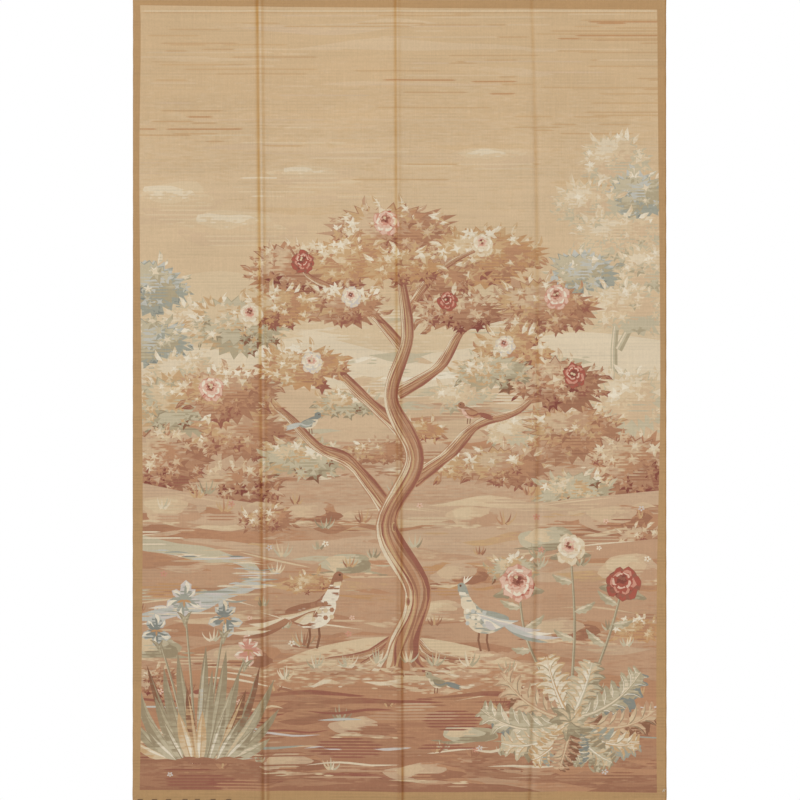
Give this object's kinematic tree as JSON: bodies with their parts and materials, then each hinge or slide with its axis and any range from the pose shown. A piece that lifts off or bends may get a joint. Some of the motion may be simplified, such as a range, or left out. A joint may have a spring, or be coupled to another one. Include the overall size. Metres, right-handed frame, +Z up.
{
  "type": "wall tapestry",
  "caption": "Flat-woven wall hanging, taller than wide, with a woven garden design, a plain gold border, turned hems and soft fold creases.",
  "frame": {"origin": "middle of the top edge, on the wall plane that the back of the top hem lies against", "axes": "+Z up along the drop, +X to the right across the width seen from the front, +Y into the wall, so the woven face looks to -Y"},
  "size_m": [1.2201, 0.0203, 1.8301],
  "materials": {
    "tapestry_cloth": "matt flat weave in sand, terracotta, cream and grey-green, with a plain gold border"
  },
  "bodies": {
    "root": {"tapestry": "tapestry_cloth"}
  },
  "joints": []
}
